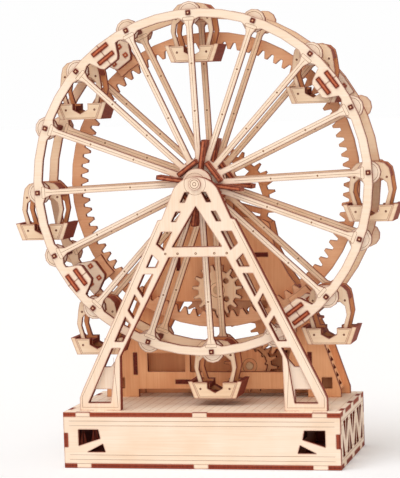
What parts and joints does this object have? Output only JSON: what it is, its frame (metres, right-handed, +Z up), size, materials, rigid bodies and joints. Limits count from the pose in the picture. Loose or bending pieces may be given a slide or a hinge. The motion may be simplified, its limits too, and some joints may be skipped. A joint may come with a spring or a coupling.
{
  "type": "hand-cranked ferris wheel toy",
  "caption": "Laser-cut plywood observation wheel on a box base, with swinging gondolas, a toothed ring, a gear train and a hand crank at the back.",
  "frame": {"origin": "middle of the underside of the base", "axes": "+Z up, -Y to the front where the wheel is, +X to the right seen from the front"},
  "size_m": [0.268, 0.1215, 0.3147],
  "materials": {
    "birch_face": "sanded birch plywood, bare",
    "birch_wheel": "sanded birch plywood, bare",
    "birch_shaded": "birch plywood, warm and smoke-tinted by the laser",
    "birch_gears": "birch plywood with toasted tooth flanks",
    "birch_gondola": "sanded birch plywood, bare",
    "dowel": "turned beech dowel",
    "burnt_edge": "laser-charred ply edge"
  },
  "bodies": {
    "stand": {"base_floor": "birch_face", "base_deck": "birch_face", "base_front_panel": "birch_face", "base_back_panel": "birch_face", "base_side_panels": "birch_face", "base_ribs": "birch_shaded", "front_tower_face": "birch_face", "front_tower_backing": "birch_face", "rear_tower_front_plate": "birch_shaded", "rear_tower_back_plate": "birch_shaded", "rear_tower_spacers": "birch_shaded", "rear_tower_side_strips": "birch_shaded"},
    "wheel": {"wheel_axle": "dowel", "front_quadrant_1": "birch_wheel", "front_quadrant_2": "birch_wheel", "front_quadrant_3": "birch_wheel", "front_quadrant_4": "birch_wheel", "rear_quadrant_1": "birch_wheel", "rear_quadrant_2": "birch_wheel", "rear_quadrant_3": "birch_wheel", "rear_quadrant_4": "birch_wheel", "front_joint_discs": "birch_wheel", "rear_joint_discs": "birch_wheel", "gondola_pins": "birch_wheel", "rim_spacer_bars": "birch_wheel", "rim_splice_plates": "birch_wheel", "rim_splice_keys": "burnt_edge", "hub_discs": "birch_wheel", "hub_fins": "burnt_edge", "hub_boards": "burnt_edge", "toothed_ring": "birch_shaded", "ring_brackets": "birch_shaded"},
    "drive": {"drive_pinion": "birch_gears", "relay_gear": "birch_gears", "pinion_shaft": "dowel"},
    "upper_train": {"upper_gear": "birch_gears", "upper_shaft": "dowel"},
    "crank": {"crank_gear": "birch_gears", "crank_shaft": "dowel", "crank_arm": "birch_gears", "crank_grip": "birch_gears"},
    "lower_train": {"lower_gear": "birch_gears", "lower_shaft": "dowel", "index_disc": "birch_gears"},
    "gondola_1": {"gondola_1_frame": "birch_gondola", "gondola_1_tub": "birch_gondola"},
    "gondola_2": {"gondola_2_frame": "birch_gondola", "gondola_2_tub": "birch_gondola"},
    "gondola_3": {"gondola_3_frame": "birch_gondola", "gondola_3_tub": "birch_gondola"},
    "gondola_4": {"gondola_4_frame": "birch_gondola", "gondola_4_tub": "birch_gondola"},
    "gondola_5": {"gondola_5_frame": "birch_gondola", "gondola_5_tub": "birch_gondola"},
    "gondola_6": {"gondola_6_frame": "birch_gondola", "gondola_6_tub": "birch_gondola"},
    "gondola_7": {"gondola_7_frame": "birch_gondola", "gondola_7_tub": "birch_gondola"},
    "gondola_8": {"gondola_8_frame": "birch_gondola", "gondola_8_tub": "birch_gondola"}
  },
  "joints": [
    {"name": "wheel_spin", "type": "hinge", "parent": "stand", "child": "wheel", "pos_m": [0, 0, 0.1916], "axis": [0, -1, 0], "continuous": true},
    {"name": "pinion_spin", "type": "hinge", "parent": "stand", "child": "drive", "pos_m": [0, 0, 0.1146], "axis": [0, -1, 0], "continuous": true},
    {"name": "upper_gear_spin", "type": "hinge", "parent": "stand", "child": "upper_train", "pos_m": [0.004, 0, 0.17607], "axis": [0, -1, 0], "continuous": true},
    {"name": "crank_spin", "type": "hinge", "parent": "stand", "child": "crank", "pos_m": [0.0453, 0, 0.09206], "axis": [0, -1, 0], "continuous": true},
    {"name": "lower_gear_spin", "type": "hinge", "parent": "stand", "child": "lower_train", "pos_m": [0.019, 0, 0.05957], "axis": [0, -1, 0], "continuous": true},
    {"name": "gondola_1_swing", "type": "hinge", "parent": "wheel", "child": "gondola_1", "pos_m": [-0.00444, 0, 0.30671], "axis": [0, -1, 0], "continuous": true},
    {"name": "gondola_2_swing", "type": "hinge", "parent": "wheel", "child": "gondola_2", "pos_m": [0.07826, 0, 0.27614], "axis": [0, -1, 0], "continuous": true},
    {"name": "gondola_3_swing", "type": "hinge", "parent": "wheel", "child": "gondola_3", "pos_m": [0.11511, 0, 0.19604], "axis": [0, -1, 0], "continuous": true},
    {"name": "gondola_4_swing", "type": "hinge", "parent": "wheel", "child": "gondola_4", "pos_m": [0.08454, 0, 0.11334], "axis": [0, -1, 0], "continuous": true},
    {"name": "gondola_5_swing", "type": "hinge", "parent": "wheel", "child": "gondola_5", "pos_m": [0.00444, 0, 0.07649], "axis": [0, -1, 0], "continuous": true},
    {"name": "gondola_6_swing", "type": "hinge", "parent": "wheel", "child": "gondola_6", "pos_m": [-0.07826, 0, 0.10706], "axis": [0, -1, 0], "continuous": true},
    {"name": "gondola_7_swing", "type": "hinge", "parent": "wheel", "child": "gondola_7", "pos_m": [-0.11511, 0, 0.18716], "axis": [0, -1, 0], "continuous": true},
    {"name": "gondola_8_swing", "type": "hinge", "parent": "wheel", "child": "gondola_8", "pos_m": [-0.08454, 0, 0.26986], "axis": [0, -1, 0], "continuous": true}
  ],
  "couplings": [
    {"joint": "pinion_spin", "follows": "wheel_spin", "ratio": 5.6667},
    {"joint": "upper_gear_spin", "follows": "wheel_spin", "ratio": -4.25},
    {"joint": "crank_spin", "follows": "wheel_spin", "ratio": -6.1818},
    {"joint": "lower_gear_spin", "follows": "wheel_spin", "ratio": 8.5},
    {"joint": "gondola_1_swing", "follows": "wheel_spin", "ratio": -1},
    {"joint": "gondola_2_swing", "follows": "wheel_spin", "ratio": -1},
    {"joint": "gondola_3_swing", "follows": "wheel_spin", "ratio": -1},
    {"joint": "gondola_4_swing", "follows": "wheel_spin", "ratio": -1},
    {"joint": "gondola_5_swing", "follows": "wheel_spin", "ratio": -1},
    {"joint": "gondola_6_swing", "follows": "wheel_spin", "ratio": -1},
    {"joint": "gondola_7_swing", "follows": "wheel_spin", "ratio": -1},
    {"joint": "gondola_8_swing", "follows": "wheel_spin", "ratio": -1}
  ]
}
